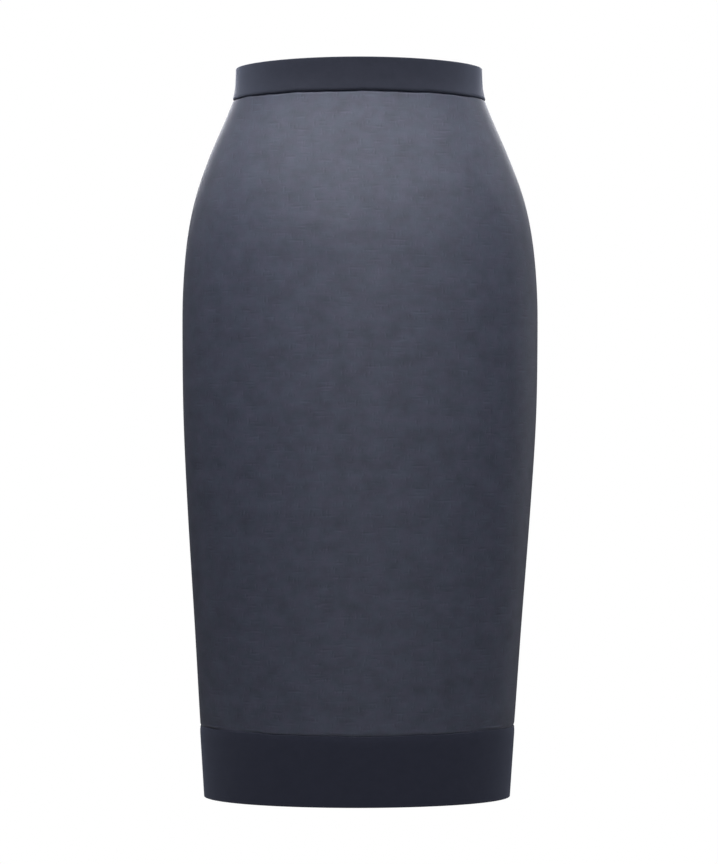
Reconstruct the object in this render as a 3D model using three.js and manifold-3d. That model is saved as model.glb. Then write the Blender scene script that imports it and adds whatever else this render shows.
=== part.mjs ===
import * as THREE from "three";
import { mergeVertices } from "three/addons/utils/BufferGeometryUtils.js";
import Module from "manifold-3d";

// Pencil skirt with a high waistband, a contrast hem band, a concealed zip and a back vent, as worn.
// Millimetres, +Z up. The front faces -Y and the wearer's left is +X.
// The origin is the centre of the waist, half way up the waistband.
// A place on the skirt is an angle round it, from 0 at centre front, and a drop below the top edge.

// Lengths down the skirt
const skirtLength = 727;
const waistbandHeight = 32;
const hemBandHeight = 71;
const ventHeight = 200;
const waistSeam = waistbandHeight;
const hemSeam = skirtLength - hemBandHeight;
const ventTop = skirtLength - ventHeight;

// At centre front the waist rides up a little, less and less down to the high hip
const waistRise = { top: 2.3, fadesBy: 110 };

// Cloth: how far each wall's two faces stand out from the body cloth's outer face
const bodyWall = { outer: 0, inner: -1.5 };
const waistbandWall = { outer: 1, inner: -1.5 };
const hemBandWall = { outer: 0.6, inner: -1.6 };
const seamGap = 0.3;

// The side seams sit a little behind the widest line, so the front wraps round to them
const sideSeam = THREE.MathUtils.degToRad(93);
const centreBack = Math.PI;

// One row for each level: half the width, the depth in front of and behind the waist's centre,
// and how far the middle hangs towards the wearer's left
const levels = [
  { drop: 0, half: 122, front: 91, back: 84, sway: 0 },
  { drop: 20, half: 123, front: 92, back: 85, sway: 0 },
  { drop: 32, half: 125.7, front: 94.2, back: 87, sway: 0 },
  { drop: 50, half: 132.8, front: 97.3, back: 92.5, sway: 0 },
  { drop: 90, half: 150, front: 104.3, back: 104.5, sway: 0 },
  { drop: 130, half: 164, front: 111, back: 114, sway: 0.5 },
  { drop: 170, half: 172.3, front: 115.8, back: 120, sway: 0.8 },
  { drop: 220, half: 176.8, front: 118.1, back: 123.5, sway: 1 },
  { drop: 270, half: 177.5, front: 118.9, back: 124, sway: 1 },
  { drop: 350, half: 176.2, front: 118.5, back: 121.5, sway: 0.8 },
  { drop: 440, half: 171.3, front: 116.5, back: 117, sway: 0 },
  { drop: 560, half: 163, front: 112.5, back: 112, sway: -1 },
  { drop: 655, half: 156.9, front: 109.5, back: 109.5, sway: -1.7 },
  { drop: 727, half: 152.2, front: 106.5, back: 107.5, sway: -2 },
];

// Mesh rows: close together where the hips curve, wider apart below
const bodyDrops = [48, 66, 86, 108, 132, 158, 188, 222, 262, 310, 365, 425, 485, ventTop, 590];
const columns = { half: 38, quarter: 19, lap: 8 };

// Vent: the wearer's right back continues behind the left back
const lap = { width: 40, clear: 0.5, turnsIn: 1.5, rootFrom: 7, rootDepth: 0.6, thick: 1.5 };

// Concealed zip. Its slider parts the waistband's back edges just below the top.
const zip = { sliderDrop: 8, partedTo: 14, closedFrom: 26, neckClearance: 0.3 };
const slider = {
  body: { width: 6.5, height: 9, thick: 2.4, corner: 1.5 },
  neck: { width: 1.2, height: 5 },
  crown: { width: 2, height: 6.2, from: 0.3, to: 4.2, corner: 1.4 },
  window: { height: 4, from: 1, to: 3, corner: 0.3 },
  sunk: 0.4,
};
const pull = {
  length: 20,
  topWidth: 4.8,
  tipRadius: 3,
  thick: 1,
  bar: 1,
  slot: { width: 2.7, length: 3.9 },
  shoulder: 1.6,
  pivot: { out: 2, up: -0.6 },
  lean: THREE.MathUtils.degToRad(1),
};

const finishes = {
  body: { color: 0x4b4e5a, roughness: 0.8, metalness: 0 },
  band: { color: 0x262831, roughness: 0.5, metalness: 0 },
  metal: { color: 0x34363f, roughness: 0.35, metalness: 0.9 },
};

// A column of the table at any drop, as a smooth curve through its rows
function level(drop, column) {
  const last = levels.length - 1;
  let i = levels.findIndex((row) => row.drop > drop) - 1;
  if (i < 0) i = drop < 0 ? 0 : last - 1;
  const slope = (k) => {
    const a = levels[Math.max(k - 1, 0)];
    const b = levels[Math.min(k + 1, last)];
    return (b[column] - a[column]) / (b.drop - a.drop);
  };
  const a = levels[i];
  const b = levels[i + 1];
  const span = b.drop - a.drop;
  const t = (drop - a.drop) / span;
  const t2 = t * t;
  const t3 = t2 * t;
  return (
    a[column] * (2 * t3 - 3 * t2 + 1) +
    slope(i) * span * (t3 - 2 * t2 + t) +
    b[column] * (3 * t2 - 2 * t3) +
    slope(i + 1) * span * (t3 - t2)
  );
}

// A point of the body cloth's outer face: an ellipse at each level, deeper behind than in front at the hips
function onCloth(angle, drop) {
  const ahead = Math.cos(angle);
  const depth = level(drop, ahead > 0 ? "front" : "back");
  const fade = Math.max(1 - drop / waistRise.fadesBy, 0);
  const rise = waistRise.top * Math.max(ahead, 0) ** 2 * fade ** 2;
  return new THREE.Vector3(
    level(drop, "sway") + level(drop, "half") * Math.sin(angle),
    -depth * ahead,
    waistbandHeight / 2 - drop + rise,
  );
}

function outward(angle, drop) {
  const step = 0.01;
  const around = onCloth(angle + step, drop).sub(onCloth(angle - step, drop));
  const up = onCloth(angle, drop - 1).sub(onCloth(angle, drop + 1));
  return around.cross(up).normalize();
}

// The same point moved out by a distance from the cloth
function skin(angle, drop, out) {
  return onCloth(angle, drop).addScaledVector(outward(angle, drop), out);
}

// The angle that a short distance round the skirt takes up
function turn(distance, angle, drop) {
  const step = 0.01;
  return (distance * 2 * step) / onCloth(angle + step, drop).distanceTo(onCloth(angle - step, drop));
}

// A closed wall between two faces. Its rows run down the skirt and its columns round it,
// and from and to give the angles where each row begins and ends.
function wall({ drops, from, to, count, outer, inner }) {
  const positions = [];
  const index = [];
  const rows = drops.length;
  const wide = count + 1;
  for (const face of [outer, inner]) {
    for (const drop of drops) {
      for (let j = 0; j < wide; j++) {
        const angle = THREE.MathUtils.lerp(from(drop), to(drop), j / count);
        positions.push(...skin(angle, drop, face(angle, drop)).toArray());
      }
    }
  }
  const out = (i, j) => i * wide + j;
  const inn = (i, j) => rows * wide + i * wide + j;
  const quad = (a, b, c, d) => index.push(a, b, c, a, c, d);
  for (let i = 0; i < rows - 1; i++) {
    for (let j = 0; j < count; j++) {
      quad(out(i, j), out(i + 1, j), out(i + 1, j + 1), out(i, j + 1));
      quad(inn(i, j), inn(i, j + 1), inn(i + 1, j + 1), inn(i + 1, j));
    }
    quad(inn(i, 0), inn(i + 1, 0), out(i + 1, 0), out(i, 0));
    quad(out(i, count), out(i + 1, count), inn(i + 1, count), inn(i, count));
  }
  for (let j = 0; j < count; j++) {
    quad(out(0, j), out(0, j + 1), inn(0, j + 1), inn(0, j));
    quad(out(rows - 1, j + 1), out(rows - 1, j), inn(rows - 1, j), inn(rows - 1, j + 1));
  }
  const geometry = new THREE.BufferGeometry();
  geometry.setAttribute("position", new THREE.Float32BufferAttribute(positions, 3));
  geometry.setIndex(index);
  return geometry;
}

// Where a piece's edge runs beside a seam line, half a gap away from it
function beside(seamAngle, side, gap = () => seamGap / 2) {
  return (drop) => seamAngle + side * turn(gap(drop), seamAngle, drop);
}

// The zip's two edges meet, apart from where the slider holds them open
function zipGap(drop) {
  const open = slider.neck.width / 2 + zip.neckClearance;
  const closing = THREE.MathUtils.smoothstep(drop, zip.partedTo, zip.closedFrom);
  return THREE.MathUtils.lerp(open, seamGap / 2, closing);
}

const wasm = await Module();
wasm.setup();

function solidOf(geometry) {
  const bare = geometry.clone();
  bare.deleteAttribute("normal");
  bare.deleteAttribute("uv");
  const merged = mergeVertices(bare, 1e-4);
  return new wasm.Manifold(
    new wasm.Mesh({
      numProp: 3,
      vertProperties: merged.attributes.position.array,
      triVerts: new Uint32Array(merged.index.array),
    }),
  );
}

function geometryOf(solid) {
  const mesh = solid.getMesh();
  const geometry = new THREE.BufferGeometry();
  geometry.setAttribute("position", new THREE.BufferAttribute(mesh.vertProperties, 3));
  geometry.setIndex(new THREE.BufferAttribute(mesh.triVerts, 1));
  return geometry;
}

function join(...geometries) {
  return geometryOf(geometries.map(solidOf).reduce((whole, next) => whole.add(next)));
}

// One band or panel of the skirt between two angles
function piece(faces, drops, from, to, count) {
  return wall({ drops, from, to, count, outer: () => faces.outer, inner: () => faces.inner });
}

// The part of the right back that runs on behind the left back, from its root in the right back's own wall
function ventLap(faces, drops) {
  const seam = -centreBack;
  const away = (angle, drop) => (angle - seam) / turn(1, seam, drop);
  const behind = faces.inner - lap.clear;
  const outer = (angle, drop) => {
    const rise = THREE.MathUtils.smoothstep(away(angle, drop), lap.turnsIn, lap.rootFrom);
    return THREE.MathUtils.lerp(behind, faces.outer - lap.rootDepth, rise);
  };
  return wall({
    drops,
    from: (drop) => seam - turn(lap.width, seam, drop),
    to: (drop) => seam + turn(lap.rootFrom, seam, drop),
    count: columns.lap,
    outer,
    inner: (angle, drop) => outer(angle, drop) - lap.thick,
  });
}

const group = new THREE.Group();

function add(name, geometry, finish, parent = group) {
  const mesh = new THREE.Mesh(geometry, new THREE.MeshStandardMaterial(finish));
  mesh.name = name;
  parent.add(mesh);
}

function bodyPanels() {
  const drops = [waistSeam + seamGap / 2, ...bodyDrops, hemSeam - seamGap / 2];
  const lapDrops = drops.filter((drop) => drop >= ventTop);
  const front = piece(bodyWall, drops, beside(-sideSeam, 1), beside(sideSeam, -1), columns.half);
  const left = piece(bodyWall, drops, beside(sideSeam, 1), beside(centreBack, -1), columns.quarter);
  const right = piece(bodyWall, drops, beside(-centreBack, 1), beside(-sideSeam, -1), columns.quarter);
  add("front_panel", front, finishes.body);
  add("back_panel_left", left, finishes.body);
  add("back_panel_right", join(right, ventLap(bodyWall, lapDrops)), finishes.body);
}

function waistband() {
  const drops = [0, zip.partedTo, zip.closedFrom, waistSeam - seamGap / 2];
  const zipLeft = beside(centreBack, -1, zipGap);
  const zipRight = beside(-centreBack, 1, zipGap);
  const front = piece(waistbandWall, drops, beside(-sideSeam, 1), beside(sideSeam, -1), columns.half);
  const left = piece(waistbandWall, drops, beside(sideSeam, 1), zipLeft, columns.quarter);
  const right = piece(waistbandWall, drops, zipRight, beside(-sideSeam, -1), columns.quarter);
  add("waistband_front", front, finishes.band);
  add("waistband_back_left", left, finishes.band);
  add("waistband_back_right", right, finishes.band);
}

function hemBand() {
  const drops = [hemSeam + seamGap / 2, skirtLength - hemBandHeight / 2, skirtLength];
  const front = piece(hemBandWall, drops, beside(-sideSeam, 1), beside(sideSeam, -1), columns.half);
  const left = piece(hemBandWall, drops, beside(sideSeam, 1), beside(centreBack, -1), columns.quarter);
  const right = piece(hemBandWall, drops, beside(-centreBack, 1), beside(-sideSeam, -1), columns.quarter);
  add("hem_band_front", front, finishes.band);
  add("hem_band_back_left", left, finishes.band);
  add("hem_band_back_right", join(right, ventLap(hemBandWall, drops)), finishes.band);
}

function roundedRectangle(width, height, corner, x = 0) {
  const shape = new THREE.Shape();
  for (let quarter = 0; quarter < 4; quarter++) {
    const right = quarter === 0 || quarter === 3 ? 1 : -1;
    const above = quarter < 2 ? 1 : -1;
    const cx = x + right * (width / 2 - corner);
    const cy = above * (height / 2 - corner);
    shape.absarc(cx, cy, corner, (quarter * Math.PI) / 2, ((quarter + 1) * Math.PI) / 2);
  }
  return shape;
}

function slab(shape, depth) {
  return new THREE.ExtrudeGeometry(shape, { depth, bevelEnabled: false, curveSegments: 4 });
}

// The slider, in its own axes: x along the waist, y out from the waistband's face and z up along it
function sliderGeometry() {
  const { body, neck, crown, window, sunk } = slider;
  const wallThick = waistbandWall.outer - waistbandWall.inner;
  const bodyFace = -wallThick - zip.neckClearance;
  const inside = slab(roundedRectangle(body.width, body.height, body.corner), body.thick);
  inside.rotateX(Math.PI / 2);
  inside.translate(0, bodyFace, 0);
  const neckLength = crown.from - bodyFace + 2 * sunk;
  const through = new THREE.BoxGeometry(neck.width, neckLength, neck.height);
  through.translate(0, bodyFace - sunk + neckLength / 2, 0);
  const crownMiddle = (crown.from + crown.to) / 2;
  const windowMiddle = (window.from + window.to) / 2;
  const outline = roundedRectangle(crown.to - crown.from, crown.height, crown.corner, crownMiddle);
  outline.holes.push(roundedRectangle(window.to - window.from, window.height, window.corner, windowMiddle));
  const outside = slab(outline, crown.width);
  // The outline is drawn in out and up, so its x becomes y, its y becomes z and its depth becomes x
  outside.translate(0, 0, -crown.width / 2);
  outside.rotateZ(Math.PI / 2);
  outside.rotateY(Math.PI / 2);
  return join(inside, through, outside);
}

// The pull hangs from a crossbar that lies through the crown's window, and its slot clears the crown
// as it turns. It leans out enough for its tip to clear the waistband, which widens below.
function pullGeometry() {
  const { length, topWidth, tipRadius, thick, bar, slot, shoulder, pivot, lean } = pull;
  const shape = new THREE.Shape();
  const top = bar / 2;
  const neck = -bar / 2 - slot.length - shoulder;
  const tip = -length + tipRadius;
  shape.moveTo(-topWidth / 2, top);
  shape.lineTo(-topWidth / 2, neck);
  shape.lineTo(-tipRadius, tip);
  shape.absarc(0, tip, tipRadius, Math.PI, 2 * Math.PI);
  shape.lineTo(topWidth / 2, neck);
  shape.lineTo(topWidth / 2, top);
  const hole = new THREE.Path();
  hole.moveTo(-slot.width / 2, -bar / 2);
  hole.lineTo(slot.width / 2, -bar / 2);
  hole.lineTo(slot.width / 2, -bar / 2 - slot.length);
  hole.lineTo(-slot.width / 2, -bar / 2 - slot.length);
  shape.holes.push(hole);
  const plate = new THREE.ExtrudeGeometry(shape, { depth: thick, bevelEnabled: false, curveSegments: 8 });
  plate.translate(0, 0, -thick / 2);
  plate.rotateX(Math.PI / 2 + lean);
  plate.translate(0, pivot.out, pivot.up);
  return plate;
}

function zipHardware() {
  const holder = new THREE.Group();
  const normal = outward(centreBack, zip.sliderDrop);
  holder.position.copy(skin(centreBack, zip.sliderDrop, waistbandWall.outer));
  holder.rotation.x = Math.atan2(normal.z, normal.y);
  add("zip_slider", sliderGeometry(), finishes.metal, holder);
  add("zip_pull", pullGeometry(), finishes.metal, holder);
  group.add(holder);
}

bodyPanels();
waistband();
hemBand();
zipHardware();

export default group;
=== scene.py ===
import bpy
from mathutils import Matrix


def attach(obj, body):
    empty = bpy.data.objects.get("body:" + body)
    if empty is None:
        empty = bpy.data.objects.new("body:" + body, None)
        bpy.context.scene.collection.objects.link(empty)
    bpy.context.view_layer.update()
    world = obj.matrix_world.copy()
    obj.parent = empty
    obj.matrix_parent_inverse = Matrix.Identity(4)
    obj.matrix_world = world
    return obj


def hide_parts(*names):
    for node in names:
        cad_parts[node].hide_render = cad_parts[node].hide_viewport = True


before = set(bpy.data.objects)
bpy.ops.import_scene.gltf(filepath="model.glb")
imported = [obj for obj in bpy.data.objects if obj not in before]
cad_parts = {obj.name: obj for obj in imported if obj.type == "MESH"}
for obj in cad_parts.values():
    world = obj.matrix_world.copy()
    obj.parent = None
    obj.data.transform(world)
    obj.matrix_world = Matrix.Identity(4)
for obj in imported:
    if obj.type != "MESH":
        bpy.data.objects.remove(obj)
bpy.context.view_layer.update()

import math

import bpy
import numpy as np
from mathutils import Vector

mm = 0.001
body = "skirt"
scene = bpy.context.scene
scene.view_settings.view_transform = "Standard"

# The skirt's form, in millimetres. A place on it is an angle from centre front and a drop below the top edge.
skirt = dict(
    length=727, waistbandHeight=32, hemBandHeight=71, ventHeight=200,
    waistRise=2.3, riseFadesBy=110, sideSeam=math.radians(93),
)
waistSeam = skirt["waistbandHeight"]
hemSeam = skirt["length"] - skirt["hemBandHeight"]
ventTop = skirt["length"] - skirt["ventHeight"]
sideSeam = skirt["sideSeam"]
centreBack = math.pi
zipLength = 215

levelColumns = ("drop", "half", "front", "back", "sway")
levelRows = (
    (0, 122, 91, 84, 0),
    (20, 123, 92, 85, 0),
    (32, 125.7, 94.2, 87, 0),
    (50, 132.8, 97.3, 92.5, 0),
    (90, 150, 104.3, 104.5, 0),
    (130, 164, 111, 114, 0.5),
    (170, 172.3, 115.8, 120, 0.8),
    (220, 176.8, 118.1, 123.5, 1),
    (270, 177.5, 118.9, 124, 1),
    (350, 176.2, 118.5, 121.5, 0.8),
    (440, 171.3, 116.5, 117, 0),
    (560, 163, 112.5, 112, -1),
    (655, 156.9, 109.5, 109.5, -1.7),
    (727, 152.2, 106.5, 107.5, -2),
)
levels = {name: np.array(values, float) for name, values in zip(levelColumns, zip(*levelRows))}


def level(drop, column):
    # a smooth curve through one column of the table
    drops, values = levels["drop"], levels[column]
    low = np.r_[0, np.arange(len(drops) - 1)]
    high = np.r_[np.arange(1, len(drops)), len(drops) - 1]
    slopes = (values[high] - values[low]) / (drops[high] - drops[low])
    i = np.clip(np.searchsorted(drops, drop, side="right") - 1, 0, len(drops) - 2)
    span = drops[i + 1] - drops[i]
    t = (drop - drops[i]) / span
    start = values[i] * (2 * t**3 - 3 * t**2 + 1) + slopes[i] * span * (t**3 - 2 * t**2 + t)
    return start + values[i + 1] * (3 * t**2 - 2 * t**3) + slopes[i + 1] * span * (t**3 - t**2)


def onCloth(angle, drop):
    ahead = np.cos(angle)
    depth = np.where(ahead > 0, level(drop, "front"), level(drop, "back"))
    fade = np.maximum(1 - drop / skirt["riseFadesBy"], 0)
    rise = skirt["waistRise"] * np.maximum(ahead, 0) ** 2 * fade**2
    x = level(drop, "sway") + level(drop, "half") * np.sin(angle)
    return np.stack([x, -depth * ahead, waistSeam / 2 - drop + rise], -1)


def skin(angle, drop, out):
    # the point that lies out from the cloth, square to it
    step = 0.01
    around = onCloth(angle + step, drop) - onCloth(angle - step, drop)
    up = onCloth(angle, drop - 1) - onCloth(angle, drop + 1)
    normal = np.cross(around, up)
    normal /= np.linalg.norm(normal, axis=-1, keepdims=True)
    return onCloth(angle, drop) + normal * out[..., None]


def turn(distance, angle, drop):
    # the angle that a short distance round the skirt takes up
    step = 0.01
    chord = onCloth(angle + step, drop) - onCloth(angle - step, drop)
    return distance * 2 * step / np.linalg.norm(chord, axis=-1)


def smooth(x, low, high):
    t = np.clip((x - low) / (high - low), 0, 1)
    return t * t * (3 - 2 * t)


def partWay(first, second, share):
    return first + (second - first) * share


def bell(x, width):
    return np.exp(-((x / width) ** 2))


def rolled(distance, radius):
    # how far a rounded edge has fallen away at a distance from it
    inside = np.clip(radius - distance, 0, radius)
    return radius - np.sqrt(radius**2 - inside**2)


def spread(length, step, fineSpots, fineStep=0.25, reach=1.6):
    # places from 0 to length, a step apart and close together round the fine spots
    x = np.linspace(0, length, 8000)
    density = np.full_like(x, 1 / step)
    for spot in fineSpots:
        density += (1 / fineStep - 1 / step) * bell(x - spot, reach)
    count = np.r_[0, np.cumsum((density[1:] + density[:-1]) / 2 * np.diff(x))]
    return np.interp(np.linspace(0, count[-1], int(count[-1]) + 2), count, x)


def columns(width, step, middle=False, fineStep=0.25, reach=1.6):
    # shares of the way between two edges, close together near both, and half way too if asked
    spots = (0, width / 2, width) if middle else (0, width)
    return spread(width, step, spots, fineStep, reach) / width


print("form ready")


# Materials

class Wire:
    # a node's output, so that shader maths reads as plain Python
    def __init__(self, shader, socket):
        self.shader = shader
        self.socket = socket

    def maths(self, operation, first, second):
        return self.shader.add("ShaderNodeMath", dict(operation=operation), {0: first, 1: second})

    def __add__(self, other):
        return self.maths("ADD", self, other)

    def __radd__(self, other):
        return self.maths("ADD", other, self)

    def __sub__(self, other):
        return self.maths("SUBTRACT", self, other)

    def __rsub__(self, other):
        return self.maths("SUBTRACT", other, self)

    def __mul__(self, other):
        return self.maths("MULTIPLY", self, other)

    def __rmul__(self, other):
        return self.maths("MULTIPLY", other, self)


class Shader:
    # the nodes of a new material or world
    def __init__(self, name, world=False):
        self.owner = bpy.data.worlds.new(name) if world else bpy.data.materials.new(name)
        self.owner.use_nodes = True
        self.tree = self.owner.node_tree
        self.tree.nodes.clear()

    def add(self, kind, settings=None, sockets=None, output=0):
        node = self.tree.nodes.new(kind)
        for key, value in (settings or {}).items():
            setattr(node, key, value)
        for key, value in (sockets or {}).items():
            if isinstance(value, Wire):
                self.tree.links.new(value.socket, node.inputs[key])
            else:
                node.inputs[key].default_value = value
        return Wire(self, node.outputs[output]) if len(node.outputs) else None

    def scaled(self, vector, x, y):
        return self.add("ShaderNodeVectorMath", dict(operation="MULTIPLY"), {0: vector, 1: (x, y, 1)})

    def noise(self, vector, across, down, detail=2.0, seed=0.0, shift=(0, 0)):
        # a noise whose grains are so many millimetres wide and high
        place = self.scaled(vector, 1 / (across * mm), 1 / (down * mm))
        offset = (seed + shift[0] / across, seed * 1.7 + shift[1] / down, 0)
        moved = self.add("ShaderNodeVectorMath", dict(operation="ADD"), {0: place, 1: offset})
        settings = dict(noise_dimensions="2D")
        return self.add("ShaderNodeTexNoise", settings, {"Vector": moved, "Scale": 1.0, "Detail": detail})

    def grain(self, scale, detail):
        # a noise in the piece's own space, with about so many grains to the metre
        place = self.add("ShaderNodeTexCoord", {}, {}, "Object")
        return self.add("ShaderNodeTexNoise", {}, {"Vector": place, "Scale": scale, "Detail": detail})

    def between(self, value, low, high):
        settings = dict(interpolation_type="SMOOTHSTEP")
        return self.add("ShaderNodeMapRange", settings, {"Value": value, "From Min": low, "From Max": high})

    def mix(self, share, first, second, blend="MIX"):
        settings = dict(data_type="RGBA", blend_type=blend)
        return self.add("ShaderNodeMix", settings, {0: share, 6: first, 7: second}, 2)

    def bump(self, height, distance, strength=1.0):
        return self.add("ShaderNodeBump", {}, {"Height": height, "Distance": distance, "Strength": strength})

    def surface(self, **sockets):
        named = {key.replace("_", " "): value for key, value in sockets.items()}
        shading = self.add("ShaderNodeBsdfPrincipled", {}, named)
        self.add("ShaderNodeOutputMaterial", {}, {"Surface": shading})


# Every noise of a cloth has the width and height of its grains in millimetres, its detail and its seed.
# The tones say how much each one shows in the colour.
bodyCloth = dict(
    dark=(0.0310, 0.0343, 0.0495, 1), light=(0.0590, 0.0643, 0.0925, 1),
    weft=(10, 1.5, 2.0, 1), weftTone=0.18, warp=(1.5, 8, 2.0, 2), warpTone=0.15,
    acrossYarn=(3, 0.5, 2.0, 4), downYarn=(0.5, 3, 2.0, 6), yarnTone=0.1,
    cloud=(6, 5, 2.0, 5), cloudTone=0.3, patch=(12, 10, 1.0, 7), patchTone=0.5,
    wide=(26, 20, 1.0, 10), wideTone=0.7,
    # Each slub is a streak of painted shade with a streak of painted highlight beside it, so many millimetres
    # away.
    weftSlub=(24, 2.4, 1.0, 3), weftSlubTone=0.26, weftSlubHighlight=1.3,
    warpSlub=(1.9, 9, 1.0, 8), warpSlubTone=0.32, warpSlubHighlight=1.1,
    slubFrom=0.66, slubTo=0.82, highlightBeside=1.7,
    hue=(13, 9, 2.0, 9), hueFrom=0.42, hueTo=0.58,
    bluish=(0.96, 1.025, 1.0, 1), purplish=(1.02, 0.985, 1.0, 1),
    roughness=0.55, roughnessVaries=0.12, specular=0.5, sheen=0.02, bumpHeight=0.0001, bumpStrength=0.3,
)


def makeBodyCloth():
    # slub weave: a few thick places in the weft and the warp, each a streak of painted shade with a streak of
    # painted highlight beside it, as a raised yarn looks under the lamps, over faint hatching and soft clouds
    cloth = bodyCloth
    s = Shader("bodyCloth")
    uv = s.add("ShaderNodeUVMap", dict(uv_map="cloth"))
    names = ("weft", "warp", "acrossYarn", "downYarn", "cloud", "patch", "wide")
    weft, warp, fineAcross, fineDown, cloud, patch, wide = (s.noise(uv, *cloth[name]) - 0.5 for name in names)

    def streaks(slub, shift):
        return s.between(s.noise(uv, *cloth[slub], shift), cloth["slubFrom"], cloth["slubTo"])

    # the dark streak is painted shade and the shifted light streak a painted highlight, as on a raised yarn
    # lit by the lamps
    weftShadeStreak = streaks("weftSlub", (0, 0))
    weftHighlightStreak = streaks("weftSlub", (0, cloth["highlightBeside"]))
    warpShadeStreak = streaks("warpSlub", (0, 0))
    warpHighlightStreak = streaks("warpSlub", (cloth["highlightBeside"], 0))
    tone = 0.5 + weft * cloth["weftTone"] + warp * cloth["warpTone"]
    tone = tone + fineAcross * cloth["yarnTone"] + fineDown * cloth["yarnTone"]
    tone = tone + cloud * cloth["cloudTone"] + patch * cloth["patchTone"] + wide * cloth["wideTone"]
    # the slubs' painted shade, less their painted highlight
    tone = tone - (weftShadeStreak - weftHighlightStreak * cloth["weftSlubHighlight"]) * cloth["weftSlubTone"]
    tone = tone - (warpShadeStreak - warpHighlightStreak * cloth["warpSlubHighlight"]) * cloth["warpSlubTone"]
    plain = s.mix(tone, cloth["dark"], cloth["light"])
    hue = s.between(s.noise(uv, *cloth["hue"]), cloth["hueFrom"], cloth["hueTo"])
    tint = s.mix(hue, cloth["bluish"], cloth["purplish"])
    s.surface(
        Base_Color=s.mix(1.0, plain, tint, "MULTIPLY"),
        Roughness=cloth["roughness"] - fineAcross * cloth["roughnessVaries"],
        Normal=s.bump(weft + warp + fineAcross + fineDown, cloth["bumpHeight"], cloth["bumpStrength"]),
        Specular_IOR_Level=cloth["specular"],
        Sheen_Weight=cloth["sheen"],
    )


bandCloth = dict(
    dark=(0.0192, 0.0206, 0.0310, 1), light=(0.0272, 0.0290, 0.0425, 1),
    # The waistband's copy is the same cloth with painted shade, its colour darkened to 0.43; the hem's keeps
    # nearly its own.
    waist=dict(shade=0.43, sheen=0.235, grain=2.6), hem=dict(shade=0.97, sheen=0.11, grain=0.9),
    acrossYarn=(2.6, 0.5, 2.0, 11), downYarn=(0.5, 2.6, 2.0, 12), yarnTone=0.4,
    cloud=(7, 5, 2.0, 14), cloudTone=0.4, patch=(16, 12, 3.0, 15), patchTone=0.6,
    roughness=0.5, roughnessVaries=0.1, specular=0.03, bumpHeight=0.00005, bumpStrength=0.4,
    sheenRoughness=0.65, sheenTint=(0.73, 0.80, 1, 1),
)


def shaded(colour, share):
    return tuple(channel * share for channel in colour[:3]) + (1,)


def makeBandCloth(name, shade, sheen, grain):
    # smooth close weave, with only a faint yarn and a few soft clouds
    cloth = bandCloth
    s = Shader(name)
    uv = s.add("ShaderNodeUVMap", dict(uv_map="cloth"))
    names = ("acrossYarn", "downYarn", "cloud", "patch")
    across, down, cloud, patch = (s.noise(uv, *cloth[name]) - 0.5 for name in names)
    uneven = across * cloth["yarnTone"] + down * cloth["yarnTone"]
    uneven = uneven + cloud * cloth["cloudTone"] + patch * cloth["patchTone"]
    s.surface(
        # shade darkens the cloth's colour; for the waistband that is painted shade
        Base_Color=s.mix(0.5 + uneven * grain, shaded(cloth["dark"], shade), shaded(cloth["light"], shade)),
        Roughness=cloth["roughness"] - down * cloth["roughnessVaries"],
        Normal=s.bump(across + down, cloth["bumpHeight"], cloth["bumpStrength"]),
        Specular_IOR_Level=cloth["specular"],
        Sheen_Weight=sheen,
        Sheen_Roughness=cloth["sheenRoughness"],
        Sheen_Tint=cloth["sheenTint"],
    )


zipEnamel = dict(
    paint=(0.028, 0.030, 0.040, 1), bare=(0.20, 0.20, 0.21, 1),
    scale=900.0, detail=3.0, wornFrom=0.60, wornTo=0.74,
    metallic=0.35, wornMetallic=0.6, roughness=0.30, wornRoughness=0.12, roughnessVaries=0.1,
    bumpHeight=0.00004, bumpStrength=0.4,
)


def makeZipEnamel():
    # enamelled metal, with the paint a little thin where hands rub it
    s = Shader("zipEnamel")
    coarse = s.grain(zipEnamel["scale"], zipEnamel["detail"])
    worn = s.between(coarse, zipEnamel["wornFrom"], zipEnamel["wornTo"])
    smudges = (coarse - 0.5) * zipEnamel["roughnessVaries"]
    s.surface(
        Base_Color=s.mix(worn, zipEnamel["paint"], zipEnamel["bare"]),
        Metallic=zipEnamel["metallic"] + worn * zipEnamel["wornMetallic"],
        Roughness=zipEnamel["roughness"] + worn * zipEnamel["wornRoughness"] + smudges,
        Normal=s.bump(coarse, zipEnamel["bumpHeight"], zipEnamel["bumpStrength"]),
    )


zipPlastic = dict(
    dark=(0.016, 0.017, 0.024, 1), light=(0.024, 0.026, 0.036, 1), scale=2500.0, detail=2.0,
    roughness=0.38, roughnessVaries=0.1,
)


def makeZipPlastic():
    # the coil's smooth dyed plastic
    s = Shader("zipCoil")
    grain = s.grain(zipPlastic["scale"], zipPlastic["detail"])
    s.surface(
        Base_Color=s.mix(grain, zipPlastic["dark"], zipPlastic["light"]),
        Roughness=zipPlastic["roughness"] + (grain - 0.5) * zipPlastic["roughnessVaries"],
    )


thread = dict(
    dark=(0.026, 0.028, 0.040, 1), light=(0.050, 0.053, 0.072, 1), scale=3200.0, detail=2.0,
    roughness=0.55, roughnessVaries=0.2, bumpHeight=0.00005, bumpStrength=0.5,
)


def makeThread():
    # twisted sewing thread, a shade darker than the body cloth
    s = Shader("thread")
    twist = s.grain(thread["scale"], thread["detail"])
    s.surface(
        Base_Color=s.mix(twist, thread["dark"], thread["light"]),
        Roughness=thread["roughness"] + (twist - 0.5) * thread["roughnessVaries"],
        Normal=s.bump(twist, thread["bumpHeight"], thread["bumpStrength"]),
    )


makeBodyCloth()
# the waistband's copy carries painted shade in its colour
makeBandCloth("waistCloth", **bandCloth["waist"])
makeBandCloth("hemCloth", **bandCloth["hem"])
makeZipEnamel()
makeZipPlastic()
makeThread()
print("materials ready")


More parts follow.
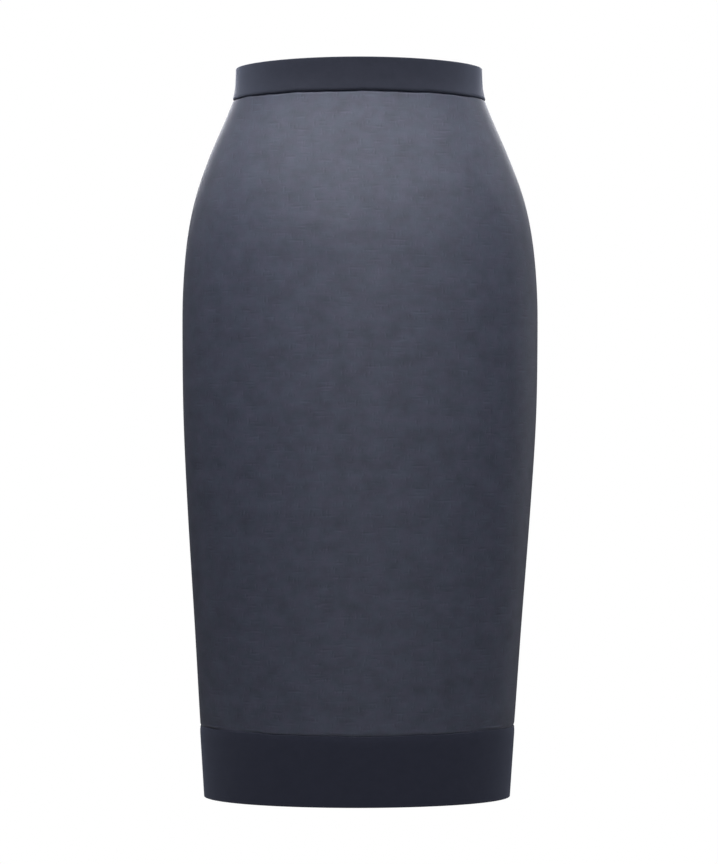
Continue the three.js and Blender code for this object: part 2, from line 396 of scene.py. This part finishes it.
# Soft troughs and ridges of the worn cloth: where each begins and ends, how wide it is,
# and how far it stands out (or in, below zero). Angles are in degrees from centre front.
creaseColumns = ("fromAngle", "fromDrop", "toAngle", "toDrop", "width", "out")
creaseRows = (
    (-0.5, 505, -0.8, 668, 2.6, -0.28),  # the faint line down the lower front
    (0.4, 300, -0.6, 505, 9, 0.16),
    (36, 88, 38.5, 166, 5, 0.22),
    (44, 92, 57, 158, 9, 0.45),
    (-7, 150, -12, 196, 16, 0.55),
    (3, 150, 6, 215, 18, -0.5),
    (-30, 158, -46, 172, 10, -0.4),
    (-56, 228, -34, 236, 9, -0.3),
    (17, 265, 12, 400, 12, 0.4),
    (27, 250, 30, 372, 15, -0.45),
    (-24, 310, -20, 470, 20, 0.4),
    (-41, 380, -36, 540, 14, -0.4),
    (34, 430, 41, 600, 16, -0.45),
    (52, 372, 60, 520, 14, 0.4),
    (-62, 455, -68, 650, 16, -0.5),
    (70, 470, 66, 655, 13, 0.45),
    (-14, 560, -12, 700, 14, 0.35),
    (20, 580, 19, 716, 11, -0.3),
    (112, 150, 128, 205, 14, 0.6),
    (-110, 165, -131, 212, 12, -0.6),
    (150, 182, 168, 214, 13, -0.5),
    (-148, 196, -165, 222, 15, 0.5),
    (126, 300, 133, 470, 18, 0.55),
    (-122, 330, -130, 520, 16, -0.5),
    (163, 330, 160, 500, 14, -0.45),
    (-158, 350, -163, 505, 17, 0.45),
    (108, 540, 112, 712, 15, -0.4),
    (-140, 590, -143, 716, 13, 0.4),
)
creases = [dict(zip(creaseColumns, row)) for row in creaseRows]
creaseEnds = dict(inside=0.3, beyond=0.15)  # how much of its length a crease takes to fade at each end


def relief(angle, drop):
    out = np.zeros_like(angle)
    inside, beyond = creaseEnds["inside"], creaseEnds["beyond"]
    for crease in creases:
        startAngle, endAngle = math.radians(crease["fromAngle"]), math.radians(crease["toAngle"])
        startDrop, endDrop = crease["fromDrop"], crease["toDrop"]
        middle = np.array((startAngle + endAngle) / 2), np.array((startDrop + endDrop) / 2)
        radius = 1 / turn(1.0, *middle)
        goes = np.array([(endAngle - startAngle) * radius, endDrop - startDrop])
        reach = np.linalg.norm(goes)
        dx, dy = (angle - startAngle) * radius, drop - startDrop
        share = (dx * goes[0] + dy * goes[1]) / reach**2
        across = (dx * goes[1] - dy * goes[0]) / reach
        ends = smooth(share, -beyond, inside) * (1 - smooth(share, 1 - inside, 1 + beyond))
        out += crease["out"] * ends * bell(across, crease["width"])
    return out


seamWaveColumns = ("turns", "start", "share")
seamWaveRows = ((11, 0.7, 1), (23, 2.1, 0.6), (47, 4, 0.35))
seamWaves = [dict(zip(seamWaveColumns, row)) for row in seamWaveRows]


def seamWave(angle, size):
    # a sewn seam never runs quite straight: it strays by up to this size either way
    waves = sum(wave["share"] * np.sin(angle * wave["turns"] + wave["start"]) for wave in seamWaves)
    return size * waves / sum(wave["share"] for wave in seamWaves)


# Meshes

def clothWall(angles, drops, faceOut, faceIn, zeroAt="left"):
    # a closed wall on a grid of places. faceOut and faceIn say how far each face stands out,
    # given the distances to the grid's edges.
    steps = np.linalg.norm(np.diff(onCloth(angles, drops), axis=1), axis=2)
    across = np.concatenate([np.zeros((len(steps), 1)), np.cumsum(steps, 1)], 1)
    wholeWay = across[:, -1:]
    edges = dict(left=across, right=wholeWay - across, top=drops - drops[0], bottom=drops[-1] - drops)
    outer = skin(angles, drops, faceOut(angles, drops, edges))
    inner = skin(angles, drops, faceIn(angles, drops, edges))
    zero = dict(left=0, right=wholeWay, middle=wholeWay / 2)[zeroAt]
    uv = np.stack([across - zero, -drops], -1).reshape(-1, 2)
    return dict(
        points=np.concatenate([outer.reshape(-1, 3), inner.reshape(-1, 3)]),
        uvs=np.concatenate([uv, uv]),
        faces=wallFaces(*angles.shape),
        width=wholeWay.max() * mm,
        height=float((drops[-1] - drops[0]).max()) * mm,
        area=float((steps[:-1] * np.diff(drops[:, :-1], axis=0)).sum()) * mm**2,
    )


def wallFaces(rows, wide):
    # the outer grid's quads, the inner grid's behind them, and a strip round each edge
    behind = rows * wide

    def at(i, j):
        return i * wide + j

    i, j = (k.ravel() for k in np.meshgrid(np.arange(rows - 1), np.arange(wide - 1), indexing="ij"))
    r, c = np.arange(rows - 1), np.arange(wide - 1)
    end, foot = wide - 1, rows - 1
    quads = (
        (at(i, j), at(i + 1, j), at(i + 1, j + 1), at(i, j + 1)),
        (at(i, j) + behind, at(i, j + 1) + behind, at(i + 1, j + 1) + behind, at(i + 1, j) + behind),
        (at(r, 0) + behind, at(r + 1, 0) + behind, at(r + 1, 0), at(r, 0)),
        (at(r, end), at(r + 1, end), at(r + 1, end) + behind, at(r, end) + behind),
        (at(0, c), at(0, c + 1), at(0, c + 1) + behind, at(0, c) + behind),
        (at(foot, c + 1), at(foot, c), at(foot, c) + behind, at(foot, c + 1) + behind),
    )
    return np.concatenate([np.stack(quad, -1) for quad in quads]).tolist()


def meshPiece(name, points, faces, finish, slot, uvs=None):
    mesh = bpy.data.meshes.new(name)
    mesh.from_pydata((points * mm).tolist(), [], faces)
    if uvs is not None:
        layer = mesh.uv_layers.new(name="cloth")
        corners = np.empty(len(mesh.loops), np.int32)
        mesh.loops.foreach_get("vertex_index", corners)
        layer.uv.foreach_set("vector", (uvs[corners] * mm).astype(np.float32).ravel())
    mesh.shade_smooth()
    mesh.materials.append(bpy.data.materials[finish])
    piece = bpy.data.objects.new(name, mesh)
    scene.collection.objects.link(piece)
    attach(piece, body)
    return piece


def joined(parts):
    # the points and faces of several walls or bars, as one mesh
    faces, start = [], 0
    for part in parts:
        faces += [[corner + start for corner in face] for face in part["faces"]]
        start += len(part["points"])
    return np.concatenate([part["points"] for part in parts]), faces


def sheetPiece(name, walls, finish, slot, node):
    points, faces = joined(walls)
    uvs = np.concatenate([wall["uvs"] for wall in walls])
    piece = meshPiece(name, points, faces, finish, slot, uvs)
    width = sum(wall["width"] for wall in walls)
    height = max(wall["height"] for wall in walls)
    area = sum(wall["area"] for wall in walls)
    flat = (round(width, 3), round(height, 3))
    area = round(min(area, flat[0] * flat[1]), 4)
    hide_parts(node)
    print(f"{name}: cut {width / mm:.0f} x {height / mm:.0f} mm, {area:.4f} m2")


def grid(shares, drops, start, end):
    # columns at the same shares of the way between two edges, which may move with the drop
    drop = np.asarray(drops, float)[:, None]
    first = start(drop) if callable(start) else np.full_like(drop, start)
    last = end(drop) if callable(end) else np.full_like(drop, end)
    return partWay(first, last, shares[None, :]), np.repeat(drop, len(shares), 1)


# Body panels

panel = dict(
    thick=1.0, frontRound=470, sideToDart=120,
    step=3.6, fineStep=0.35, fineReach=3.0, finePastTuck=0.3, fineAboveHem=1.8,
    tuckUnder=2.2, tuckDepth=1.2, tuckOut=1.9, deepTuckDepth=1.6, deepTuckOut=2.2, tuckAbove=0.2,
    sideCosine=0.1, frontCosine=0.75, zipHalf=math.radians(11),
    waistWaves=0.5, waistPuff=0.8, waistPuffReach=10,
    sideRoll=0.8, sidePinch=0.35, sidePinchReach=5,
    hemWaves=0.5, hemSag=1.8, hemSagHalf=math.radians(38), sagReach=40,
    ridgeAbove=2.6, ridgeWidth=1.1, hemRoll=0.95, hemRollReach=3.6, rollVaries=0.35, rollTurns=5, rollStart=1,
    hemSink=1.0, hemSinkReach=14, hemSinkAngle=math.radians(56), hemSinkHalf=math.radians(20),
)
opened = dict(width=12, thick=0.55, clear=0.08, step=3, zipClear=6, ventClear=6)  # the seams' allowances
dart = dict(
    drop=118, atWaist=math.radians(180 - 39), atTip=math.radians(180 - 31), width=0.9, depth=0.65,
    besideWidth=5, beside=0.35, fadesFrom=0.55, tipOut=0.35, tipWidth=14, tipBelow=4, tipReach=16,
)
vent = dict(
    clear=0.35, dipAbove=5, dipBelow=7, turnsIn=1.0, turnsBy=6.0,
    lapWidth=40, lapPast=0.6, lapAbove=2, lapStep=3, liftBelow=10, liftAtHem=1.5, liftReach=34,
)

# Short places where the allowance behind the hem seam pushes the panel out. The angles and their half widths
# are in degrees, from centre front.
hemRidgeColumns = ("angle", "half", "out")
hemRidgeRows = (
    (-64, 7, 0.85),
    (59, 6, 0.85),
    (-8, 9, 0.2),
    (20, 6, 0.2),
    (-118, 8, 0.8),
    (104, 6, 0.6),
    (151, 7, 0.7),
)
hemRidges = [dict(zip(hemRidgeColumns, row)) for row in hemRidgeRows]


def hemSeamAt(angle):
    # the drop of the hem seam, which sags a little at the front
    return hemSeam + seamWave(angle, panel["hemWaves"]) + panel["hemSag"] * bell(angle, panel["hemSagHalf"])


def waistSeamAt(angle):
    return waistSeam + seamWave(angle + 2, panel["waistWaves"])  # so that its waves differ from the hem's


def followSeam(angles, drops):
    # moves a grid's rows near the hem seam along with it
    near = 1 - smooth(np.abs(drops - hemSeam), 0, panel["sagReach"])
    return angles, drops + (hemSeamAt(angles) - hemSeam) * near


def nearHemSeam(angle, drop):
    # the panel's lower edge turns softly in over its seam, and lies on a low ridge in a few places
    above = hemSeamAt(angle) - drop
    size = np.zeros_like(angle)
    for ridge in hemRidges:
        size += ridge["out"] * bell(angle - math.radians(ridge["angle"]), math.radians(ridge["half"]))
    varies = 1 + panel["rollVaries"] * np.sin(angle * panel["rollTurns"] + panel["rollStart"])
    turnsIn = np.clip(1 - above / (panel["hemRollReach"] * varies), 0, 1) ** 2
    sinks = panel["hemSink"] * bell(np.abs(angle) - panel["hemSinkAngle"], panel["hemSinkHalf"])
    low = size * bell(above - panel["ridgeAbove"], panel["ridgeWidth"]) - panel["hemRoll"] * turnsIn
    return low - sinks * bell(above, panel["hemSinkReach"])


def awayFromSides(angle):
    # 1 across the front and the back, 0 at the side seams and over the zip
    overZip = bell(np.abs(angle) - centreBack, panel["zipHalf"])
    return smooth(np.abs(np.cos(angle)), panel["sideCosine"], panel["frontCosine"]) * (1 - overZip)


def nearWaistSeam(angle, drop):
    # the panel's edge comes out from under the waistband, and puffs a little just below it
    below = drop - waistSeamAt(angle)
    deeper = awayFromSides(angle)
    depth = partWay(panel["tuckDepth"], panel["deepTuckDepth"], deeper)
    reach = partWay(panel["tuckOut"], panel["deepTuckOut"], deeper)
    puff = panel["waistPuff"] * deeper * np.exp(-np.maximum(below, 0) / panel["waistPuffReach"])
    return puff - (depth + puff) * (1 - smooth(below, -panel["tuckAbove"], reach))


def sideEdges(edges):
    # both sewn sides roll in, and the cloth near them is drawn in a little
    fall = 0
    for name in ("left", "right"):
        pinch = panel["sidePinch"] * bell(edges[name], panel["sidePinchReach"])
        fall = fall - rolled(edges[name], panel["sideRoll"]) - pinch
    return fall


def panelFaces(shape):
    def outer(angle, drop, edges):
        return shape(angle, drop) + nearHemSeam(angle, drop) + sideEdges(edges)

    def inner(angle, drop, edges):
        return shape(angle, drop) - panel["thick"]

    return outer, inner


def allowance(drops, seamAngle, side, shape):
    # a seam allowance pressed open against the inside, from the seam to one side of it
    def edge(drop):
        return seamAngle + side * turn(opened["width"], np.array(seamAngle), drop)

    ends = (seamAngle, edge) if side > 0 else (edge, seamAngle)
    free = "right" if side > 0 else "left"
    middle = opened["thick"] / 2
    behind = panel["thick"] + opened["clear"]

    def outer(angle, drop, edges):
        return shape(angle, drop) - behind - rolled(edges[free], middle)

    def inner(angle, drop, edges):
        return shape(angle, drop) - behind - 2 * middle + rolled(edges[free], middle)

    shares = columns(opened["width"], opened["step"], fineStep=0.4, reach=1.2)
    return clothWall(*grid(shares, drops, *ends), outer, inner)


def dartAngle(drop):
    return partWay(dart["atWaist"], dart["atTip"], np.clip((drop - waistSeam) / dart["drop"], 0, 1))


def dartFall(angle, drop):
    # a stitched fold that runs out to nothing, with a little fullness round its tip
    away = (np.abs(angle) - dartAngle(drop)) / turn(1.0, np.array(dart["atTip"]), drop)
    runsOut = 1 - smooth(drop - waistSeam, dart["drop"] * dart["fadesFrom"], dart["drop"])
    fold = bell(away, dart["width"]) + dart["beside"] * bell(away, dart["besideWidth"])
    belowTip = drop - waistSeam - dart["drop"] - dart["tipBelow"]
    tip = bell(away, dart["tipWidth"]) * bell(belowTip, dart["tipReach"])
    return -dart["depth"] * runsOut * fold + dart["tipOut"] * tip


def ventLift(angle, drop):
    # the upper flap stands off the lap a little more towards the hem
    away = (centreBack - angle) / turn(1.0, np.array(centreBack), drop)
    rise = smooth(drop, ventTop + vent["liftBelow"], skirt["length"]) * vent["liftAtHem"]
    return rise * (1 - smooth(away, 0, vent["liftReach"]))


def ventDip(angle, drop, thick):
    # the lower flap turns in to pass behind the upper one
    away = (angle + centreBack) / turn(1.0, np.array(centreBack), drop)
    opens = smooth(drop, ventTop - vent["dipAbove"], ventTop + vent["dipBelow"])
    return -(thick + vent["clear"]) * opens * (1 - smooth(away, vent["turnsIn"], vent["turnsBy"]))


def ventLap(drops, thick, outer=0.0):
    # the lower flap's width behind the upper one
    def freeEdge(drop):
        return -centreBack - turn(vent["lapWidth"], np.array(centreBack), drop)

    def innerEdge(drop):
        return -centreBack + turn(vent["lapPast"], np.array(centreBack), drop)

    def face(angle, drop, edges):
        return outer - thick - vent["clear"] - rolled(edges["left"], thick / 2)

    def back(angle, drop, edges):
        return outer - 2 * thick - vent["clear"] + rolled(edges["left"], thick / 2)

    shares = columns(vent["lapWidth"], vent["lapStep"], fineStep=0.4, reach=1.5)
    return clothWall(*grid(shares, drops, freeEdge, innerEdge), face, back, "right")


# The rows of every panel, close together at the waist seam and the hem seam.
panelTop = waistSeam - panel["tuckUnder"]
panelHeight = hemSeam - waistSeam + panel["tuckUnder"]
finePlaces = (panel["tuckUnder"] + panel["finePastTuck"], panelHeight - panel["fineAboveHem"], panelHeight)
panelDrops = panelTop + spread(panelHeight, panel["step"], finePlaces, panel["fineStep"], panel["fineReach"])
allowanceDrops = panelDrops[::2]
belowZip = panelDrops > zipLength + opened["zipClear"]
centreDrops = panelDrops[belowZip & (panelDrops < ventTop - opened["ventClear"])][::2]


def makeFrontPanel():
    def shape(angle, drop):
        return relief(angle, drop) + nearWaistSeam(angle, drop)

    shares = columns(panel["frontRound"], panel["step"], middle=True, fineStep=0.4, reach=2.4)
    places = followSeam(*grid(shares, panelDrops, -sideSeam, sideSeam))
    wall = clothWall(*places, *panelFaces(shape), "middle")
    sides = [allowance(allowanceDrops, end * sideSeam, -end, shape) for end in (-1, 1)]
    sheetPiece("frontPanel", [wall, *sides], "bodyCloth", "body_cloth", "front_panel")


def backColumns(start, end):
    # two runs of columns, from the side seam to the dart and from the dart to centre back
    runs = columns(panel["sideToDart"], panel["step"], fineStep=panel["fineStep"], reach=2.6)
    drop = panelDrops[:, None]
    dartLine = dartAngle(drop)
    first = partWay(start, dartLine, runs[None, :])
    second = partWay(dartLine, end, runs[None, 1:])
    angles = np.concatenate([first, second], 1)
    return angles, np.repeat(drop, angles.shape[1], 1)


def makeBackPanels():
    def left(angle, drop):
        shape = relief(angle, drop) + dartFall(angle, drop) + ventLift(angle, drop)
        return shape + nearWaistSeam(angle, drop)

    def right(angle, drop):
        shape = relief(angle, drop) + dartFall(angle, drop) + ventDip(angle, drop, panel["thick"])
        return shape + nearWaistSeam(angle, drop)

    angles, drops = backColumns(sideSeam, centreBack)
    wall = clothWall(*followSeam(angles, drops), *panelFaces(left), "right")
    seams = [allowance(allowanceDrops, sideSeam, 1, left), allowance(centreDrops, centreBack, -1, left)]
    sheetPiece("backPanelLeft", [wall, *seams], "bodyCloth", "body_cloth", "back_panel_left")
    wall = clothWall(*followSeam(-angles[:, ::-1], drops), *panelFaces(right), "left")
    lap = ventLap(panelDrops[panelDrops > ventTop - vent["lapAbove"]], panel["thick"])
    seams = [allowance(allowanceDrops, -sideSeam, -1, right), allowance(centreDrops, -centreBack, 1, right)]
    sheetPiece("backPanelRight", [wall, lap, *seams], "bodyCloth", "body_cloth", "back_panel_right")


# Bands

waistband = dict(
    frontRound=340, backRound=170, step=3.0,
    out=1.0, inner=-1.5, topRoll=1.25, sideRoll=0.8, swell=0.9, swellFrom=2, creaseShare=0.5,
    footRoll=2.0, footReach=2.4, footInner=0.5,
    zipGapTop=0.9, zipGap=0.15, closesFrom=14, closesBy=26,
)
hemBand = dict(
    frontRound=410, backRound=205, step=3.4, flapThick=1.4,
    out=0.6, inner=-1.6, topOut=0.0, topReach=6, topRoll=0.6, sideRoll=0.8, foldRoll=1.05,
)


def waistbandOuter(angle, drop, edges):
    toFoot = np.maximum(waistSeamAt(angle) - drop, 0)
    swell = waistband["swell"] * awayFromSides(angle) * smooth(drop, waistband["swellFrom"], waistSeam)
    under = rolled(toFoot * waistband["footRoll"] / waistband["footReach"], waistband["footRoll"])
    fall = rolled(edges["top"], waistband["topRoll"]) + under
    for name in ("left", "right"):
        fall = fall + rolled(edges[name], waistband["sideRoll"])
    return waistband["out"] + swell + relief(angle, drop) * waistband["creaseShare"] - fall


def waistbandInner(angle, drop, edges):
    # the foot is thin, so that the panel's edge fits behind it
    foot = waistband["footInner"] * (1 - smooth(edges["bottom"], 0, waistband["footReach"]))
    return waistband["inner"] + rolled(edges["top"], waistband["topRoll"]) + foot


def leftZipEdge(drop):
    # the zip's slider holds the band's back edges a little apart
    closed = smooth(drop, waistband["closesFrom"], waistband["closesBy"])
    gap = partWay(waistband["zipGapTop"], waistband["zipGap"], closed)
    return centreBack - turn(1.0, np.array(centreBack), drop) * gap


def rightZipEdge(drop):
    return -leftZipEdge(drop)


def makeWaistband():
    drops = spread(waistSeam, waistband["step"], (0, waistSeam - 1), fineStep=0.3, reach=1.8)
    front = columns(waistband["frontRound"], waistband["step"], fineStep=0.3)
    back = columns(waistband["backRound"], waistband["step"], fineStep=0.3)
    faces = waistbandOuter, waistbandInner
    wall = clothWall(*grid(front, drops, -sideSeam, sideSeam), *faces, "middle")
    sheetPiece("waistbandFront", [wall], "waistCloth", "band_cloth", "waistband_front")
    wall = clothWall(*grid(back, drops, sideSeam, leftZipEdge), *faces, "right")
    sheetPiece("waistbandBackLeft", [wall], "waistCloth", "band_cloth", "waistband_back_left")
    wall = clothWall(*grid(back, drops, rightZipEdge, -sideSeam), *faces, "left")
    sheetPiece("waistbandBackRight", [wall], "waistCloth", "band_cloth", "waistband_back_right")


def hemFaces(shape):
    def outer(angle, drop, edges):
        below = drop - hemSeamAt(angle)
        top = partWay(hemBand["topOut"], hemBand["out"], smooth(below, 0, hemBand["topReach"]))
        fall = rolled(np.maximum(below, 0), hemBand["topRoll"]) + rolled(edges["bottom"], hemBand["foldRoll"])
        for name in ("left", "right"):
            fall = fall + rolled(edges[name], hemBand["sideRoll"])
        return top + relief(angle, drop) + shape(angle, drop) - fall

    def inner(angle, drop, edges):
        form = relief(angle, drop) + shape(angle, drop)
        return hemBand["inner"] + form + rolled(edges["bottom"], hemBand["foldRoll"])

    return outer, inner


def makeHemBand():
    def plain(angle, drop):
        return 0

    def dipped(angle, drop):
        return ventDip(angle, drop, hemBand["flapThick"])

    height = skirt["hemBandHeight"]
    drops = hemSeam + spread(height, hemBand["step"], (0, height), fineStep=0.3, reach=2.2)
    front = columns(hemBand["frontRound"], hemBand["step"], middle=True, fineStep=0.4)
    back = columns(hemBand["backRound"], hemBand["step"], fineStep=0.3)
    wall = clothWall(*followSeam(*grid(front, drops, -sideSeam, sideSeam)), *hemFaces(plain), "middle")
    sheetPiece("hemBandFront", [wall], "hemCloth", "band_cloth", "hem_band_front")
    wall = clothWall(*followSeam(*grid(back, drops, sideSeam, centreBack)), *hemFaces(ventLift), "right")
    sheetPiece("hemBandBackLeft", [wall], "hemCloth", "band_cloth", "hem_band_back_left")
    wall = clothWall(*followSeam(*grid(back, drops, -centreBack, -sideSeam)), *hemFaces(dipped), "left")
    lap = ventLap(drops, hemBand["flapThick"], hemBand["inner"] + hemBand["flapThick"])
    sheetPiece("hemBandBackRight", [wall, lap], "hemCloth", "band_cloth", "hem_band_back_right")


makeFrontPanel()
makeBackPanels()
makeWaistband()
makeHemBand()
print("cloth ready")


# Zip and stitching

tape = dict(
    top=4, width=12, thick=0.5, step=4, columnStep=2,
    fromMiddle=1.6, fromMiddleTop=3.8, closesFrom=13, closesBy=24,
    behindBand=-1.7, behindPanel=-1.75, dropsBackFrom=30, dropsBackBy=40,
)
coil = dict(top=14.5, pitch=1.4, wide=2.9, over=0.7, high=0.5, deep=0.55, out=-2.95)
zipStop = dict(wide=4.6, high=3.6, deep=1.0, sides=12, rings=7)
ventStitch = dict(length=2.5, gap=0.9, radius=0.24, sunk=0.08, fromEdge=3.0, below=5, run=35, fall=12)


def fromCentreBack(distance, drop):
    # the angle of a place so far from centre back, on the wearer's left if above zero
    return centreBack - distance * turn(1.0, np.array(centreBack), drop)


def tapeOut(drop):
    share = smooth(drop, tape["dropsBackFrom"], tape["dropsBackBy"])
    return partWay(tape["behindBand"], tape["behindPanel"], share)


def tapeFace(angle, drop, edges):
    return tapeOut(drop) - rolled(np.minimum(edges["left"], edges["right"]), tape["thick"] / 2)


def tapeBack(angle, drop, edges):
    fall = rolled(np.minimum(edges["left"], edges["right"]), tape["thick"] / 2)
    return tapeOut(drop) - tape["thick"] + fall


def makeTape(name, side):
    # side is 1 for the wearer's left and -1 for the right
    def near(drop):
        closed = smooth(drop, tape["closesFrom"], tape["closesBy"])
        return fromCentreBack(side * partWay(tape["fromMiddleTop"], tape["fromMiddle"], closed), drop)

    def far(drop):
        return fromCentreBack(side * (tape["fromMiddleTop"] + tape["width"]), drop)

    ends = (far, near) if side > 0 else (near, far)
    length = zipLength - tape["top"]
    drops = tape["top"] + spread(length, tape["step"], (waistSeam - tape["top"],), fineStep=0.8, reach=3)
    shares = columns(tape["width"], tape["columnStep"], fineStep=0.4, reach=1)
    wall = clothWall(*grid(shares, drops, *ends), tapeFace, tapeBack)
    piece = meshPiece(name, wall["points"], wall["faces"], "waistCloth", "band_cloth", wall["uvs"])


def bar(start, end, out, radii, sides=8, rings=5):
    # a rounded bar with closed ends between two places (distance from centre back, drop),
    # flattened by its two radii
    start, end = np.array(start, float), np.array(end, float)
    along = np.linspace(-1, 1, rings)
    middle = (start + end) / 2 + np.outer(along, (end - start) / 2)
    across = (end - start)[::-1] * (-1, 1) / np.linalg.norm(end - start)
    girth = np.sqrt(np.clip(1 - np.abs(along) ** 5, 0.05, 1))
    turns = np.linspace(0, 2 * math.pi, sides, endpoint=False)
    spots = middle[:, None, :] + across * (girth[:, None] * radii[0] * np.cos(turns))[..., None]
    height = out + girth[:, None] * radii[1] * np.sin(turns)
    points = skin(fromCentreBack(spots[..., 0], spots[..., 1]), spots[..., 1], height).reshape(-1, 3)
    i, j = (k.ravel() for k in np.meshgrid(np.arange(rings - 1), np.arange(sides), indexing="ij"))
    after = (j + 1) % sides
    quads = np.stack([i * sides + j, i * sides + after, (i + 1) * sides + after, (i + 1) * sides + j], -1)
    last = len(points) - sides
    ends = [list(range(sides - 1, -1, -1)), list(range(last, last + sides))]
    return dict(points=points, faces=quads.tolist() + ends)


def makeCoil():
    # the coil's loops from each side reach just past the middle, by turns
    loops = []
    drop = coil["top"]
    side = 1
    while drop < zipLength - zipStop["high"]:
        ends = (side * coil["wide"], drop), (-side * coil["over"], drop)
        loops.append(bar(*ends, coil["out"], (coil["high"], coil["deep"])))
        drop += coil["pitch"] / 2
        side = -side
    meshPiece("zipCoil", *joined(loops), "zipCoil", "zip_metal")


def makeZipStop():
    ends = (-zipStop["wide"] / 2, zipLength), (zipStop["wide"] / 2, zipLength)
    radii = zipStop["high"] / 2, zipStop["deep"]
    stop = bar(*ends, coil["out"], radii, zipStop["sides"], zipStop["rings"])
    meshPiece("zipStop", *joined([stop]), "zipEnamel", "zip_metal")


def makeVentStitches():
    # a slanting row that holds the lap to the upper flap at the top of the vent
    first = np.array([ventStitch["fromEdge"], ventTop + ventStitch["below"]])
    goes = np.array([ventStitch["run"], ventStitch["fall"]], float)
    reach = np.linalg.norm(goes)
    step = ventStitch["length"] + ventStitch["gap"]
    radii = ventStitch["radius"], ventStitch["radius"]
    row = []
    for i in range(int(reach / step)):
        start = first + goes / reach * i * step
        end = start + goes / reach * ventStitch["length"]
        row.append(bar(start, end, -ventStitch["sunk"], radii))
    meshPiece("ventStitches", *joined(row), "thread", "body_cloth")


def finishZipHardware():
    for node in ("zip_slider", "zip_pull"):
        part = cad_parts[node]
        part.data.materials.clear()
        part.data.materials.append(bpy.data.materials["zipEnamel"])


makeTape("zipTapeLeft", 1)
makeTape("zipTapeRight", -1)
makeCoil()
makeZipStop()
makeVentStitches()
finishZipHardware()
print("zip and stitching ready")


# Studio

studio = dict(
    distance=3.3, level=-0.347, lens=137.5, sensor=36,
    backdrop=(1.0, 1.0, 1.0, 1), ambient=0.004, ambientColour=(0.96, 0.98, 1.0, 1),
    floor=-1.05, floorRadius=1.9, floorTones=(0.24, 0.26), floorGlow=0.82,
    cardLift=0.002, cardTones=(0.51, 0.53), cloudScale=3.0, cloudDetail=2.0, roughness=0.9,
    lightColour=(0.975, 0.985, 1.055), nearSize=0.7, nearAim=-0.05, farReach=2, farSize=0.9, farAim=-0.25,
)

# The soft square lights: their bearing from centre front and their height in degrees, their reach in metres
# and their power in watts.
lightColumns = ("name", "azimuth", "elevation", "reach", "power")
lightRows = (
    ("frontLight", 0, 30, 1.15, 6.1),
    ("frontFar", 0, 5, 2.2, 2.2),
    ("leftLight", -40, 45, 1.15, 10),
    ("rightLight", 40, 45, 1.15, 6.5),
    ("leftSide", -75, 50, 1.15, 4.8),
    ("rightSide", 75, 50, 1.15, 3.7),
    ("rightFar", 40, 20, 2.2, 3.4),
    ("leftRim", -115, 30, 2.2, 4.4),
    ("rightRim", 115, 30, 2.2, 5.8),
    ("rightLowRim", 125, 0, 2.2, 2.4),
    ("backLeftLight", -160, 25, 2.2, 19),
    ("backRightLight", 160, 25, 2.2, 19),
    ("backLowLight", 180, 0, 2.2, 5),
)


def makeCamera():
    data = bpy.data.cameras.new("camera")
    data.lens = studio["lens"]
    data.sensor_width = studio["sensor"]
    camera = bpy.data.objects.new("camera", data)
    camera.location = (0, -studio["distance"], studio["level"])
    camera.rotation_euler = (math.radians(90), 0, 0)
    scene.collection.objects.link(camera)
    scene.camera = camera


def areaLight(name, azimuth, elevation, reach, power):
    # aimed at the waist from near by, and at the hips from further off
    near = reach < studio["farReach"]
    data = bpy.data.lights.new(name, "AREA")
    data.size = studio["nearSize"] if near else studio["farSize"]
    data.energy = power
    data.color = studio["lightColour"]
    light = bpy.data.objects.new(name, data)
    aim = Vector((0, 0, studio["nearAim"] if near else studio["farAim"]))
    bearing, height = math.radians(azimuth), math.radians(elevation)
    flatShare = math.cos(height)
    away = Vector((flatShare * math.sin(bearing), -flatShare * math.cos(bearing), math.sin(height)))
    light.location = aim + away * reach
    light.rotation_euler = away.to_track_quat("Z", "Y").to_euler()
    light.visible_camera = False
    scene.collection.objects.link(light)


def makeWorld():
    # a bright sweep all round, which lights the cloth less than it looks
    s = Shader("studio", world=True)
    seen = s.add("ShaderNodeBackground", {}, {"Color": studio["backdrop"]})
    lit = s.add("ShaderNodeBackground", {}, {"Color": studio["ambientColour"], "Strength": studio["ambient"]})
    isSeen = s.add("ShaderNodeLightPath", {}, {}, "Is Camera Ray")
    choice = s.add("ShaderNodeMixShader", {}, {0: isSeen, 1: lit, 2: seen})
    s.add("ShaderNodeOutputWorld", {}, {"Surface": choice})
    scene.world = s.owner


def makeDisc(name, height, tones, glow):
    s = Shader(name)
    cloud = s.grain(studio["cloudScale"], studio["cloudDetail"])
    s.surface(
        Base_Color=s.mix(cloud, *((tone, tone, tone, 1) for tone in tones)),
        Roughness=studio["roughness"],
        Emission_Color=studio["backdrop"],
        Emission_Strength=glow,
    )
    bpy.ops.mesh.primitive_circle_add(
        vertices=128, radius=studio["floorRadius"], fill_type="NGON", location=(0, 0, height)
    )
    disc = bpy.context.object
    disc.name = name
    disc.data.materials.append(s.owner)
    return disc


def makeFloor():
    # a pale round floor, lit enough from within to blend with the bright sweep, and a card on it
    # that throws the lamps' light back up. The camera sees only the floor, the cloth only the card.
    floor = makeDisc("floor", studio["floor"], studio["floorTones"], studio["floorGlow"])
    floor.visible_diffuse = False
    floor.visible_glossy = False
    card = makeDisc("bounceCard", studio["floor"] + studio["cardLift"], studio["cardTones"], 0)
    card.visible_camera = False
    card.visible_shadow = False


makeCamera()
makeWorld()
makeFloor()
for row in lightRows:
    areaLight(**dict(zip(lightColumns, row)))
print("studio ready")
